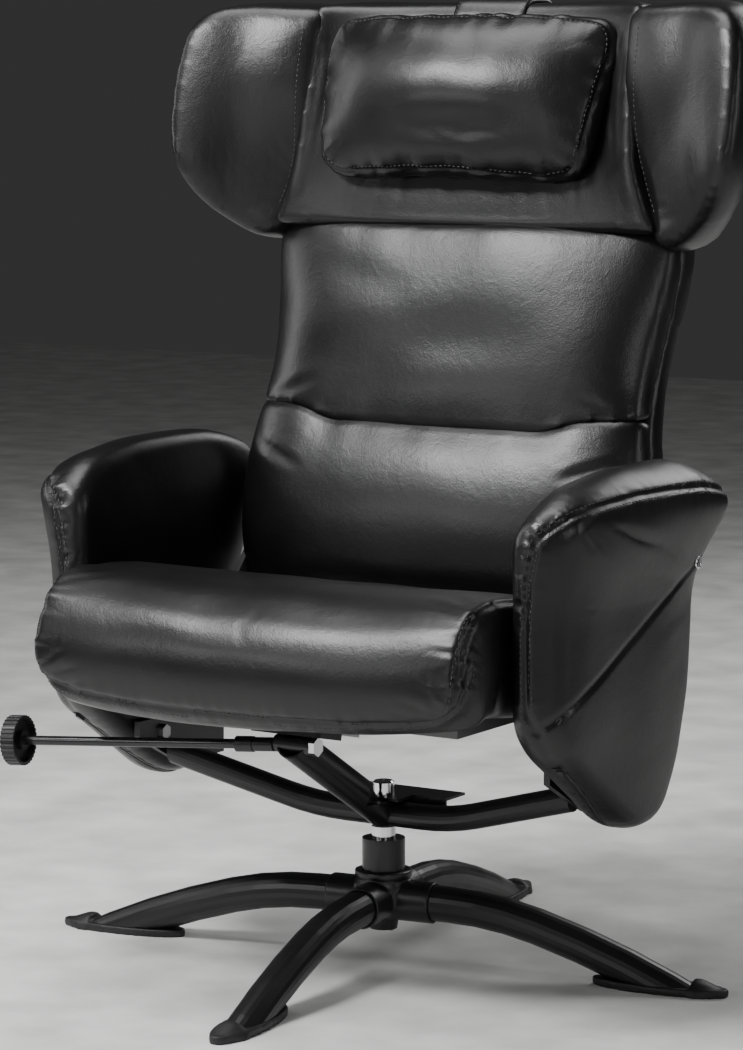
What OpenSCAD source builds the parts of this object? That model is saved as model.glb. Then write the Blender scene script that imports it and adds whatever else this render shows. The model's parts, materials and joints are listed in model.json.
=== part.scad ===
// Swivel recliner armchair with wing head section, padded arms and a four-leg base.
// Millimetres. Origin: the floor, under the column axis. +Z is up and the chair faces -Y.
// Left and right are the sitter's own, so left is +X.

/* [Base] */
// Radius of the circle on which the shoe tips stand
base_r = 425; // [420:1:430]
// Turn of the leg cross from the chair's own axes, in degrees
base_turn = 6.8; // [0:0.1:12]
// Outer radius of a leg tube
leg_r = 21; // [20:0.5:22]
// Height of a leg tube's centre line at the hub
leg_z = 73; // [72:0.5:75]
// Outer radius of the column sleeve
sleeve_r = 25; // [25:0.5:26]
// Radius of the spindle that turns in the column
spindle_r = 14; // [13:0.5:15]
// Height of the column sleeve's top
sleeve_top = 145; // [142:1:146]

/* [Chassis] */
// Outer radius of the cross tube under the seat
cross_r = 15; // [14:0.5:16]
// Height of the cross tube's middle
cross_z = 174; // [173:0.5:176]
// Outer radius of the front strut
strut_r = 19; // [18:0.5:20]
// Height of the seat pivot at the strut's top
pivot_z = 283; // [281:1:285]
// Distance of the seat pivot in front of the column axis
pivot_front = 187; // [185:1:190]
// Length of the friction rod from the seat pivot to the knob's middle
rod_len = 350; // [340:5:370]
// Radius of the friction knob
knob_r = 29; // [26:0.5:32]

/* [Arms] */
// Distance of an arm's inner face from the middle plane
arm_in = 280; // [279:1:282]
// Distance of an arm's outer face from the middle plane, below the flare
arm_out = 345; // [340:1:350]
// Distance of the flared top's outer edge from the middle plane
arm_flare = 386; // [382:1:392]
// Height of the arm's top
arm_top = 598; // [590:1:602]

/* [Seat and back] */
// Half the width of the seat cushion in front of the arms
seat_half = 282; // [279:1:285]
// Half the width of the back at the lumbar cushion
back_half = 272; // [266:1:274]
// Half the width over the wings
wing_half = 382; // [370:1:390]
// Height of the back pivot above the floor
hinge_z = 400; // [396:1:404]
// Distance of the back pivot behind the column axis
hinge_y = 85; // [83:1:87]
// Slope of the seat's glide, in degrees
glide_slope = 12.5; // [12:0.5:13]

/* [Hidden] */
$fn = 64;

// Facets of the shapes that hull() and offset() round
soft_fn = 32;
// Sides of a leg bar
bar_sides = 24;
// A cut runs this far past the face that it opens
past = 1;
// Radial clearance of a turning fit
running = 0.05;

// Base
leg_start = 36;
leg_arc_start = 82;
leg_arc_1 = [430, 15];
leg_arc_2 = [1100, 12];
hub_r = 33.5;
hub_top = 108;
hub_bottom = 52;
hub_floor = 58;
stub_r = 24;
stub_end = 66;
shoe_inner = 262;
shoe_rim = 9;
shoe_half_w = 24;
toe_from = 384;
toe_top = 18;
toe_tip_r = 10;
cap_r = 18;
cap_bottom = 38;
bush_wall = 6;
bush_flange = 4;
bearing_h = 4;
grub_r = 3;

// Chassis
tube_wall = 2.5;
spindle_end = 62.1;
spindle_neck_r = 9;
socket_r = 13;
socket_bottom = 158.5;
plate_z = 192;
plate_t = 3;
cap_nut_r = 12.5;
cap_nut_top = 212;
cross_bend = 90;
cross_bend_run = 40;
cross_end = [280, -37, 228];
strut_start = [0, 0, cross_z];
pivot = [0, -pivot_front, pivot_z];
pivot_r = 10;
pivot_half = 24;
bolt_r = 7;
rod_dir = [-0.9867, -0.1515, -0.0585];
rod_r = 5.5;
housing_r = 8;
housing_end = 50;
collar_r = 9;
collar_end = 71.5;
knob_t = 17;
flutes = 32;
bracket_in = 271;
bracket_out = 279;
bracket_z = 252;
bracket_bolt_y = [-58, 45];
stub_tube_r = 10;
frame_in = 306;
frame_out = 312;
recline_bolt_r = 6;
ring_pin = [arm_out + 9, 98, 484];
ring_major = 6;
ring_wire = 1.2;
ring_pin_r = 0.8;
zip_t = 1.6;
zip_margin = 18;

// Seat glide: rails slide in the carriage along the slope
rail_w = 8;
rail_h = 14;
rail_x = 32;
rail_n = 16;
rail_gap = 0.4;
rail_front = 59;
rail_rear = -75;
bar = 20;
seat_bar_z = 322;
seat_bar_front = -245;
seat_bar_rear = 25;
seat_bar_x = 245;
mid_bar_y = -124;
web_t = 2;
seat_web_w = 42;
back_web_w = 50;
back_web_half = 230;

// Lower hinge of the back plates, on the seat's rear pins
lower_z = hinge_z - 90;
plate_in = 259;
plate_out = 266;
pin_r = 5;
pin_gap = 2.6;

// Back: centre line of the steel frame seen from the side, as [y, z]
frame_line = [[118, 405], [118, 500], [140, 600], [178, 720], [208, 845], [250, 1060]];
frame_tube_r = 9;
frame_x = 240;
frame_top_x = 205;
frame_bend_run = 25;
head_z = 844;
lumbar_z = 613;
seam_gap = 1;
head_slope = 15;
strap_w = 98;
strap_t = 2.5;
weight_at = [0, 289.6, 860];
weight_t = 18;
weight_h = 120;
rear_slope = 6.6;

// A straight round bar from one point to another
module rod(a, b, r) {
    d = b - a;
    len = norm(d);
    translate(a)
        rotate([0, acos(d.z / len), atan2(d.y, d.x)])
            cylinder(r = r, h = len);
}

// A path with each corner eased by a curve that starts c before the corner
function eased(a, p, b, c) = let(u = (a - p) / norm(a - p), v = (b - p) / norm(b - p))
    [for (t = [0 : 0.25 : 1]) p + c * (1 - t) * (1 - t) * u + c * t * t * v];
function eased_path(p, c) = concat([p[0]],
    [for (i = [1 : len(p) - 2]) each eased(p[i - 1], p[i], p[i + 1], c)], [p[len(p) - 1]]);

// A round bar of radius r swept along a path that never runs parallel to the direction side
module swept_bar(path, r, side) {
    last = len(path) - 1;
    rings = [for (k = [0 : last])
        let(d = path[min(k + 1, last)] - path[max(k - 1, 0)], u = cross(d, side) / norm(cross(d, side)),
            v = cross(d, u) / norm(d))
            for (i = [0 : bar_sides - 1])
                let(t = i * 360 / bar_sides)
                    path[k] + r * cos(t) * u + r * sin(t) * v];
    walls = [for (k = [0 : last - 1]) for (i = [0 : bar_sides - 1])
        let(j = (i + 1) % bar_sides, a = k * bar_sides, b = a + bar_sides)
            [a + i, b + i, b + j, a + j]];
    near_end = [for (i = [0 : bar_sides - 1]) i];
    far_end = [for (i = [bar_sides - 1 : -1 : 0]) last * bar_sides + i];
    polyhedron(points = rings, faces = concat(walls, [near_end], [far_end]), convexity = 4);
}

// Extrudes a side view, drawn as [y, z], across the chair from x = a to x = b
module across(a, b) {
    translate([a, 0, 0])
        rotate([90, 0, 90])
            linear_extrude(height = b - a)
                children();
}

// Extrudes a front view, drawn as [x, z], through the whole depth of the chair
module through_depth() {
    translate([0, 700, 0])
        rotate([90, 0, 0])
            linear_extrude(height = 1400)
                children();
}

// Keeps a left-hand part, or mirrors it to the right
module on_side(side) {
    mirror([side < 0 ? 1 : 0, 0, 0])
        children();
}

// Turns a leg's own +X axis to leg number i, counted from the front
module at_leg(i) {
    rotate([0, 0, base_turn - 90 + 90 * i])
        children();
}

// ---- Base ----

// Points of the leg's centre line along +X: two arcs that meet smoothly
function leg_arc_a(a) = [leg_arc_start + leg_arc_1[0] * sin(a), 0, leg_z - leg_arc_1[0] * (1 - cos(a))];
function leg_arc_b(a) = let(a1 = leg_arc_1[1], e = leg_arc_a(a1))
    [e.x + leg_arc_2[0] * (sin(a1 + a) - sin(a1)), 0, e.z + leg_arc_2[0] * (cos(a1 + a) - cos(a1))];
leg_line = concat([[leg_start, 0, leg_z]], [for (a = [0 : 5 : leg_arc_1[1]]) leg_arc_a(a)],
    [for (a = [3 : 3 : leg_arc_2[1]]) leg_arc_b(a)]);

module leg(i) {
    color("#1b1b1c")
        at_leg(i)
            intersection() {
                swept_bar(leg_line, leg_r, [0, 1, 0]);
                translate([0, -leg_r * 2, shoe_rim])
                    cube([toe_from, leg_r * 4, leg_z * 2]);
            }
}

// Shoe: a long pointed oval plate, with a domed cap over the leg's tip
module shoe(i) {
    half_l = (base_r - shoe_inner) / 2;
    color("#141415")
        at_leg(i) {
            translate([shoe_inner + half_l, 0, 0])
                linear_extrude(height = shoe_rim)
                    polygon([for (a = [0 : 7.5 : 352.5]) [half_l * cos(a), shoe_half_w * sin(a)]]);
            intersection() {
                hull() {
                    translate([toe_from + 4, 0, toe_top - shoe_half_w])
                        sphere(r = shoe_half_w, $fn = soft_fn);
                    translate([base_r - toe_tip_r, 0, 0])
                        cylinder(r = toe_tip_r, h = 6, $fn = soft_fn);
                }
                translate([toe_from, -leg_r * 2, 0])
                    cube([base_r - toe_from, leg_r * 4, leg_z]);
            }
        }
}

module hub_casting() {
    color("#1b1b1c")
        difference() {
            union() {
                rotate_extrude()
                    polygon([[0, hub_bottom], [24, hub_bottom], [30, 60], [33, 72], [33, 90], [31, 98],
                        [hub_r, 101], [hub_r, hub_top], [0, hub_top]]);
                for (i = [0 : 3])
                    at_leg(i)
                        translate([0, 0, leg_z])
                            rotate([0, 90, 0])
                                cylinder(r = stub_r, h = stub_end);
            }
            translate([0, 0, hub_floor])
                cylinder(r = sleeve_r, h = hub_top);
            cap_cone();
            for (i = [0 : 3]) {
                at_leg(i)
                    translate([leg_start, 0, leg_z])
                        rotate([0, 90, 0])
                            cylinder(r = leg_r, h = stub_end);
                at_leg(i)
                    translate([leg_start + 14, 0, leg_z - stub_r - past])
                        cylinder(r = grub_r, h = stub_r);
            }
        }
}

// Grub screws that clamp the legs in the hub, and the two cap screws
module base_screws() {
    color("#8c8c8e") {
        for (i = [0 : 3])
            at_leg(i)
                translate([leg_start + 14, 0, leg_z - stub_r + 0.5])
                    cylinder(r = grub_r, h = stub_r - leg_r - 0.5);
        for (s = [-1, 1])
            translate([s * 10, 0, cap_bottom - 2])
                cylinder(r = 3.5, h = 2);
    }
}

// Tapered plug under the hub
module cap_cone() {
    translate([0, 0, cap_bottom])
        cylinder(r1 = cap_r - 2, r2 = cap_r, h = hub_bottom - cap_bottom);
}

module base_cap() {
    color("#141415")
        cap_cone();
}

module column_sleeve() {
    color("#1b1b1c")
        difference() {
            translate([0, 0, hub_floor])
                cylinder(r = sleeve_r, h = sleeve_top - bush_flange - hub_floor);
            translate([0, 0, hub_floor - past])
                cylinder(r = spindle_r + bush_wall, h = sleeve_top);
        }
}

module column_bush() {
    color("#101011")
        difference() {
            union() {
                translate([0, 0, hub_floor + bearing_h])
                    cylinder(r = spindle_r + bush_wall, h = sleeve_top - hub_floor - bearing_h);
                translate([0, 0, sleeve_top - bush_flange])
                    cylinder(r = sleeve_r, h = bush_flange);
            }
            translate([0, 0, hub_floor])
                cylinder(r = spindle_r + running, h = sleeve_top);
        }
}

module thrust_bearing() {
    color("#b8b8bc")
        translate([0, 0, hub_floor])
            cylinder(r = spindle_r + bush_wall, h = bearing_h);
}

// ---- Chassis ----

module spindle() {
    color("#d8d8dc") {
        translate([0, 0, spindle_end])
            cylinder(r = spindle_r, h = socket_bottom - spindle_end);
        translate([0, 0, socket_bottom])
            cylinder(r = spindle_neck_r, h = plate_z + plate_t - socket_bottom);
    }
}

module spindle_cap() {
    color("#c4c4c8")
        translate([0, 0, plate_z + plate_t])
            rotate_extrude()
                polygon([[0, 0], [cap_nut_r, 0], [cap_nut_r, cap_nut_top - plate_z - plate_t - 2],
                    [cap_nut_r - 2, cap_nut_top - plate_z - plate_t], [5, cap_nut_top - plate_z - plate_t],
                    [5, cap_nut_top - plate_z - plate_t - 3], [0, cap_nut_top - plate_z - plate_t - 3]]);
}

module spindle_socket() {
    color("#1b1b1c")
        difference() {
            translate([0, 0, socket_bottom])
                cylinder(r = socket_r, h = plate_z - socket_bottom);
            translate([0, 0, socket_bottom - past])
                cylinder(r = spindle_neck_r, h = plate_z);
        }
}

// The whole cross tube as a solid bar of radius r
module cross_bar(r) {
    swept_bar(eased_path([[-cross_end.x, cross_end.y, cross_end.z], [-cross_bend, 0, cross_z],
        [cross_bend, 0, cross_z], cross_end], cross_bend_run), r, [0, 1, 0]);
}

module cross_tube() {
    color("#1b1b1c")
        difference() {
            cross_bar(cross_r);
            cylinder(r = socket_r, h = plate_z);
            for (s = [-1, 1])
                translate([s * (bracket_in + 10), 0, cross_z])
                    cube([20, 200, 200], center = true);
        }
}

module front_strut() {
    dir = (pivot - strut_start) / norm(pivot - strut_start);
    color("#1b1b1c")
        difference() {
            rod(strut_start, pivot + 7 * dir, strut_r);
            rod(strut_start + 40 * dir, pivot + 8 * dir, strut_r - tube_wall);
            cross_bar(cross_r);
            cylinder(r = socket_r, h = plate_z);
            translate([0, 50, cross_z])
                cube(100, center = true);
            rod(pivot - [60, 0, 0], pivot + [60, 0, 0], pivot_r);
            glide_frame()
                translate([-60, -60, pivot_r])
                    cube([120, 120, 60]);
            translate([-30, -60, plate_z])
                cube([60, 120, plate_t + 20]);
        }
}

module mounting_plate() {
    color("#2a2a2c")
        difference() {
            union() {
                translate([-74, cross_r + 1, plate_z])
                    cube([148, 44, plate_t]);
                translate([-30, -18, plate_z])
                    cube([60, 36, plate_t]);
                translate([-74, cross_r + 1, plate_z - 8])
                    cube([148, plate_t, 8]);
            }
            translate([0, 0, plate_z - past])
                cylinder(r = spindle_neck_r, h = plate_t * 2);
            translate([0, 0, plate_z - 20])
                cylinder(r = socket_r, h = 20);
        }
}

module pivot_tube() {
    color("#1b1b1c")
        difference() {
            rod(pivot - [pivot_half, 0, 0], pivot + [pivot_half, 0, 0], pivot_r);
            rod(pivot - [60, 0, 0], pivot + [60, 0, 0], bolt_r);
        }
}

// Chrome cross bolt with a hex head at its left end
module pivot_bolt() {
    color("#d8d8dc") {
        rod(pivot - [pivot_half, 0, 0], pivot + [pivot_half, 0, 0], bolt_r);
        translate(pivot + [pivot_half, 0, 0])
            rotate([0, 90, 0])
                cylinder(r = 11, h = 7, $fn = 6);
    }
}

// Local frame of the glide: y runs down the slope to the rear, z is square to it
module glide_frame() {
    translate(pivot)
        rotate([-glide_slope, 0, 0])
            children();
}

module glide_carriage() {
    half_w = rail_x + 14;
    color("#1c1c1e")
        difference() {
            glide_frame()
                translate([-half_w, -22, pivot_r - 4])
                    cube([2 * half_w, 44, rail_n + rail_h + 9 - pivot_r]);
            for (s = [-1, 1])
                glide_frame()
                    translate([s * rail_x - rail_w / 2 - rail_gap, -40, rail_n - rail_gap])
                        cube([rail_w + 2 * rail_gap, 80, rail_h + 2 * rail_gap]);
            rod(pivot - [60, 0, 0], pivot + [60, 0, 0], pivot_r);
            glide_frame()
                translate([pivot_half, -12, 0])
                    cube([10, 24, 12.5]);
            difference() {
                glide_frame()
                    translate([-60, -60, -20])
                        cube([120, 120, 20 + pivot_r]);
                rod(pivot - [60, 0, 0], pivot + [60, 0, 0], 0.1);
            }
        }
}

module rod_housing() {
    color("#1b1b1c")
        difference() {
            rod(pivot + 12 * rod_dir, pivot + housing_end * rod_dir, housing_r);
            rod(pivot, pivot + 80 * rod_dir, rod_r + running);
            translate(pivot + [-pivot_half, -40, -40])
                cube(80);
        }
}

// Plate at the end of the cross tube that carries an arm on two bolts
module arm_bracket(side) {
    color("#262628")
        on_side(side)
            difference() {
                union() {
                    across(bracket_in, bracket_out)
                        polygon([[-104, 270], [-104, 252], [-60, 228], [-20, 208], [70, 208], [70, 270]]);
                    for (y = bracket_bolt_y)
                        rod([bracket_out, y, bracket_z], [frame_in, y, bracket_z], stub_tube_r);
                }
                for (y = bracket_bolt_y)
                    rod([bracket_in - past, y, bracket_z], [frame_in + past, y, bracket_z], 4);
            }
}

module arm_bracket_bolts() {
    color("#8c8c8e")
        for (s = [1, -1])
            on_side(s)
                for (y = bracket_bolt_y) {
                    rod([bracket_in, y, bracket_z], [frame_out, y, bracket_z], 4);
                    translate([bracket_in - 6, y, bracket_z])
                        rotate([0, 90, 0])
                            cylinder(r = 9, h = 6, $fn = 6);
                }
}

// Ends of the straight lower front edge of an arm, as [y, z]
arm_zip_start = [-176, 297];
arm_zip_end = [-36, 204];

// Side view of an arm: upright front, crest along the top, wedge that hangs below the seat
module arm_side() {
    offset(r = 24, $fn = soft_fn)
        offset(delta = -24)
            polygon([[-202, 322], [-202, 556], [-150, arm_top - 14], [-60, arm_top], [80, arm_top],
                [150, arm_top - 22], [158, 540], [118, 470], [112, 340], [84, 246], [46, 194],
                [-4, 190], arm_zip_end, arm_zip_start]);
}

// Front view of an arm: flat inner face, rounded top that flares outward
module arm_front() {
    offset(r = 10, $fn = soft_fn)
        offset(delta = -10)
            polygon([[arm_in, 180], [arm_in, 570], [arm_in + 22, arm_top], [arm_in + 60, arm_top + 4],
                [arm_flare - 12, arm_top - 16], [arm_flare, arm_top - 44], [arm_out + 10, 510],
                [arm_out, 460], [arm_out, 250], [arm_out - 16, 180]]);
}

module arm_pad(side) {
    color("#0c0c0d")
        on_side(side)
            difference() {
                intersection() {
                    across(arm_in, arm_flare)
                        arm_side();
                    through_depth()
                        arm_front();
                }
                arm_insert();
                rod([arm_in - past, hinge_y, hinge_z], [frame_out + 9, hinge_y, hinge_z],
                    recline_bolt_r + 3);
                for (y = bracket_bolt_y)
                    rod([arm_in - past, y, bracket_z], [frame_in, y, bracket_z], stub_tube_r);
            }
}

// Steel plate inside an arm
module arm_insert() {
    across(frame_in, frame_out)
        offset(delta = -20)
            arm_side();
}

module arm_frame(side) {
    color("#5a5a5c")
        on_side(side)
            difference() {
                arm_insert();
                rod([arm_in, hinge_y, hinge_z], [arm_out, hinge_y, hinge_z], recline_bolt_r);
                for (y = bracket_bolt_y)
                    rod([arm_in, y, bracket_z], [arm_out, y, bracket_z], 4);
            }
}

// Zip along the lower front edge of an arm
module arm_zip(side) {
    run = arm_zip_end - arm_zip_start;
    color("#161617")
        on_side(side)
            translate([arm_in + 31, arm_zip_start.x, arm_zip_start.y])
                rotate([atan2(run.y, run.x), 0, 0])
                    translate([0, zip_margin, -zip_t])
                        cube([7, norm(run) - 2 * zip_margin, zip_t]);
}

// Bolt on which the back plate turns
module recline_bolt(side) {
    color("#8c8c8e")
        on_side(side) {
            rod([plate_in - 1, hinge_y, hinge_z], [frame_out, hinge_y, hinge_z], recline_bolt_r);
            rod([frame_out, hinge_y, hinge_z], [frame_out + 8, hinge_y, hinge_z], recline_bolt_r + 3);
            rod([plate_out + 0.4, hinge_y, hinge_z], [frame_in, hinge_y, hinge_z], recline_bolt_r + 3);
            rod([plate_in - 5, hinge_y, hinge_z], [plate_in - 0.4, hinge_y, hinge_z], recline_bolt_r + 3);
        }
}

// ---- Zip pulls ----

// Slider at the rear end of the outer panel's seam, with the pin that its ring hangs on
module zip_slider(side) {
    color("#d8d8dc")
        on_side(side)
            translate(ring_pin) {
                translate([-3, -4, -6])
                    cube([1, 8, 12]);
                rod([-2, 0, 0], [3, 0, 0], ring_pin_r);
                translate([2.6, -2.5, -3])
                    cube([1, 5, 6]);
            }
}

module zip_ring(side) {
    color("#d8d8dc")
        on_side(side)
            translate(ring_pin - [0, 0, ring_major - ring_wire - ring_pin_r - 0.1])
                rotate([0, 90, 0])
                    rotate_extrude()
                        translate([ring_major, 0])
                            circle(r = ring_wire, $fn = 24);
}

// ---- Friction knob ----

module friction_rod() {
    color("#3a3a3c")
        rod(pivot + 28 * rod_dir, pivot + (rod_len + 2) * rod_dir, rod_r);
}

module rod_collar() {
    color("#232325")
        difference() {
            rod(pivot + (housing_end + 0.5) * rod_dir, pivot + collar_end * rod_dir, collar_r);
            rod(pivot, pivot + 80 * rod_dir, rod_r);
        }
}

// Fluted disc with a hollow inner face and a boss around the rod
module knob() {
    at = pivot + (rod_len - knob_t / 2) * rod_dir;
    color("#161617")
        translate(at)
            rotate([0, acos(rod_dir.z), atan2(rod_dir.y, rod_dir.x)])
                difference() {
                    cylinder(r = knob_r, h = knob_t);
                    for (i = [0 : flutes - 1])
                        rotate([0, 0, i * 360 / flutes])
                            translate([knob_r + 0.4, 0, -past])
                                cylinder(r = 1.6, h = knob_t + 2 * past, $fn = 16);
                    translate([0, 0, -past])
                        difference() {
                            cylinder(r = knob_r - 4, h = 6 + past);
                            cylinder(r = 11, h = 6 + past);
                        }
                    translate([0, 0, -past])
                        cylinder(r = rod_r, h = knob_t / 2 + 2 + past);
                }
}

// ---- Seat ----

module seat_bar(a, b) {
    translate([min(a.x, b.x), min(a.y, b.y), seat_bar_z])
        cube([abs(b.x - a.x), abs(b.y - a.y), bar]);
}

module seat_frame() {
    rear = seat_bar_rear + bar;
    color("#3a3a3c") {
        seat_bar([-seat_bar_x, seat_bar_front], [seat_bar_x, seat_bar_front + bar]);
        seat_bar([-seat_bar_x, seat_bar_rear], [seat_bar_x, rear]);
        for (s = [-1, 1])
            seat_bar([s * (seat_bar_x - bar), seat_bar_front + bar], [s * seat_bar_x, seat_bar_rear]);
        translate([-(seat_bar_x - bar), mid_bar_y, seat_bar_z])
            cube([2 * (seat_bar_x - bar), bar, bar / 2]);
        for (s = [1, -1])
            on_side(s)
                difference() {
                    translate([seat_bar_x - 8, rear, lower_z - 10])
                        cube([8, hinge_y + 10 - rear, seat_bar_z + bar - lower_z + 10]);
                    rod([200, hinge_y, lower_z], [300, hinge_y, lower_z], pin_r);
                }
    }
}

// Elastic bands across the seat frame
module seat_webbing() {
    color("#2c2c30")
        for (y = [-215, -150, -85, -20])
            translate([-seat_bar_x, y, seat_bar_z + bar])
                cube([2 * seat_bar_x, seat_web_w, web_t]);
}

module seat_rails() {
    color("#6a6a6e")
        for (s = [-1, 1]) {
            difference() {
                glide_frame()
                    translate([s * rail_x - rail_w / 2, -rail_front, rail_n])
                        cube([rail_w, rail_front - rail_rear, rail_h]);
                translate([-100, seat_bar_front, seat_bar_z])
                    cube([200, bar, bar]);
            }
            translate([s * rail_x - rail_w / 2 + 1, mid_bar_y + 6, seat_bar_z - 30])
                cube([rail_w - 2, 8, 30]);
        }
}

module seat_rear_pins() {
    color("#8c8c8e")
        for (s = [1, -1])
            on_side(s)
                rod([seat_bar_x - 8, hinge_y, lower_z], [plate_out + 4, hinge_y, lower_z], pin_r);
}

// Side view of the seat cushion: rounded front lip that wraps in front of the frame
module seat_side() {
    offset(r = 9, $fn = soft_fn)
        offset(delta = -9)
            polygon([[-252, 310], [-286, 312], [-306, 330], [-315, 370], [-307, 422], [-282, 455],
                [-240, 467], [-170, 467], [-60, 450], [50, 436], [58, 400], [58, 330], [-252, 330]]);
}

// Plan of the seat cushion: full width in front of the arms, narrower between them and at the plates
module seat_plan() {
    offset(r = 12, $fn = soft_fn)
        offset(delta = -12)
            polygon([[-seat_half, -216], [-seat_half, -280], [-seat_half + 20, -310], [0, -316],
                [seat_half - 20, -310], [seat_half, -280], [seat_half, -216], [arm_in - 4, -210],
                [arm_in - 4, -10], [plate_in - 8, 10], [plate_in - 8, 60], [-plate_in + 8, 60],
                [-plate_in + 8, 10], [-arm_in + 4, -10], [-arm_in + 4, -210]]);
}

module seat_cushion() {
    color("#0c0c0d")
        difference() {
            intersection() {
                across(-seat_half, seat_half)
                    seat_side();
                translate([0, 0, 250])
                    linear_extrude(height = 300)
                        seat_plan();
            }
            translate([-300, -252, 300])
                cube([600, 320, seat_bar_z + bar + web_t - 300]);
        }
}

// ---- Back ----

// Front view of the back: right-hand corners from the bottom up, then the same mirrored
back_corners = [[plate_in - 9, 340], [plate_in - 9, 445], [back_half, 470], [back_half, 560],
    [262, 620], [250, 700], [258, 765], [274, 820], [250, 850], [224, 1104]];

module back_front_view() {
    last = len(back_corners) - 1;
    offset(r = 14, $fn = soft_fn)
        offset(delta = -14)
            polygon(concat(back_corners,
                [for (i = [last : -1 : 0]) [-back_corners[i].x, back_corners[i].y]]));
}

module back_frame() {
    color("#3a3a3c") {
        for (s = [1, -1])
            on_side(s)
                swept_bar(eased_path([for (p = frame_line) [p.y > 800 ? frame_top_x : frame_x, p.x, p.y]],
                    frame_bend_run), frame_tube_r, [1, 0, 0]);
        for (i = [0, len(frame_line) - 1])
            rod([i == 0 ? -frame_x : -frame_top_x, frame_line[i].x, frame_line[i].y],
                [i == 0 ? frame_x : frame_top_x, frame_line[i].x, frame_line[i].y], frame_tube_r);
        for (s = [1, -1])
            on_side(s)
                translate([frame_x, 118, 425])
                    rotate([0, 90, 0])
                        cylinder(r = 8, h = plate_in - frame_x);
    }
}

// Depth of the frame's centre line at height z
function frame_y(z) = lookup(z, [for (p = frame_line) [p.y, p.x]]);

// Elastic bands across the back frame
module back_webbing() {
    color("#2c2c30")
        for (z = [445, 515, 590, 660])
            translate([-back_web_half, frame_y(z) - web_t / 2, z])
                rotate([-atan2(frame_y(z + back_web_w) - frame_y(z), back_web_w), 0, 0])
                    cube([2 * back_web_half, web_t, back_web_w]);
}

// Steel plate that joins the back frame to its pivot and to the seat's rear pins
module recline_plate(side) {
    color("#4a4a4c")
        on_side(side)
            difference() {
                across(plate_in, plate_out)
                    union() {
                        hull() {
                            translate([hinge_y, hinge_z])
                                circle(r = 17, $fn = soft_fn);
                            translate([hinge_y, lower_z])
                                circle(r = 15, $fn = soft_fn);
                        }
                        hull() {
                            translate([hinge_y, hinge_z])
                                circle(r = 17, $fn = soft_fn);
                            translate([118, 440])
                                circle(r = 15, $fn = soft_fn);
                        }
                    }
                rod([200, hinge_y, hinge_z], [300, hinge_y, hinge_z], recline_bolt_r + running);
                rod([200, hinge_y, lower_z], [300, hinge_y, lower_z], pin_r + pin_gap);
            }
}

module back_part(points) {
    color("#0c0c0d")
        intersection() {
            across(-wing_half, wing_half)
                offset(r = 4, $fn = soft_fn)
                    offset(delta = -4)
                        polygon(points);
            through_depth()
                back_front_view();
        }
}

module lumbar_cushion() {
    back_part([[80, 412], [62, 440], [58, 500], [72, 560], [108, lumbar_z - seam_gap],
        [131, lumbar_z - seam_gap], [128, 595], [107, 500], [107, 412]]);
}

module upper_cushion() {
    back_part([[110, lumbar_z + seam_gap], [106, 650], [122, 720], [145, 790], [166, head_z - seam_gap],
        [197, head_z - seam_gap], [167, 720], [134, lumbar_z + seam_gap]]);
}

module head_panel() {
    back_part([[166, head_z + seam_gap], [182, 900], [208, 1000], [227, 1070], [240, 1097], [258, 1104],
        [282, 1104], [282, 1078], [242, 1078], [197, head_z + seam_gap]]);
}

module back_shell() {
    difference() {
        back_part([[129, 345], [129, 500], [152, 600], [190, 720], [220, 845], [262, 1060], [262, 1077],
            [283, 1077], [283, 1104], [300, 1100], [311, 1075], [284, 850], [262, 740], [218, 620],
            [190, 520], [178, 420], [168, 345]]);
        for (s = [-1, 1])
            translate([s * 262 - 40, 60, 330])
                cube([80, 90, 120]);
    }
}

// Wing: padded ear that turns forward from the head section
module wing(side) {
    color("#0c0c0d")
        on_side(side)
            intersection() {
                translate([0, 190, 850])
                    rotate([-12, 0, 0])
                        translate([0, 0, -120])
                            linear_extrude(height = 460)
                                offset(r = 24, $fn = soft_fn)
                                    offset(delta = -24)
                                        polygon([[200, -34], [262, -42], [345, -84], [wing_half, -76],
                                            [wing_half, -20], [300, 70], [200, 78]]);
                through_depth()
                    offset(r = 12, $fn = soft_fn)
                        offset(delta = -12)
                            polygon([[225, 1100], [300, 1108], [360, 1101], [377, 1070], [wing_half, 1010],
                                [wing_half, 950], [373, 900], [350, 862], [312, 836], [279, 818],
                                [262, 838], [252, 870]]);
            }
}

// ---- Head pillow on its strap ----

// Side view of the head section's outline under the strap
module head_outline() {
    polygon([[166, 845], [182, 900], [208, 1000], [227, 1070], [240, 1098], [258, 1104],
        [283, 1104], [300, 1100], [311, 1075], [284, 850]]);
}

module head_strap() {
    color("#0e0e0f")
        across(-strap_w / 2, strap_w / 2)
            difference() {
                offset(delta = strap_t + 0.3)
                    head_outline();
                offset(delta = 0.3)
                    head_outline();
                translate([100, 800])
                    square([300, 150]);
            }
}

module head_pillow() {
    color("#0c0c0d")
        translate([0, 190, 893])
            rotate([-head_slope, 0, 0])
                translate([-195, -102, 0])
                    rotate([90, 0, 90])
                        linear_extrude(height = 390)
                            offset(r = 26, $fn = soft_fn)
                                offset(delta = -26)
                                    polygon([[20, 6], [82, 0], [82, 188], [0, 182], [0, 60]]);
}

// Flat weight in a pouch at the strap's rear end
module strap_counterweight() {
    color("#0e0e0f")
        translate(weight_at)
            rotate([-rear_slope, 0, 0])
                translate([-strap_w / 2 - 3, 0, 0])
                    cube([strap_w + 6, weight_t, weight_h]);
}

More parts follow.
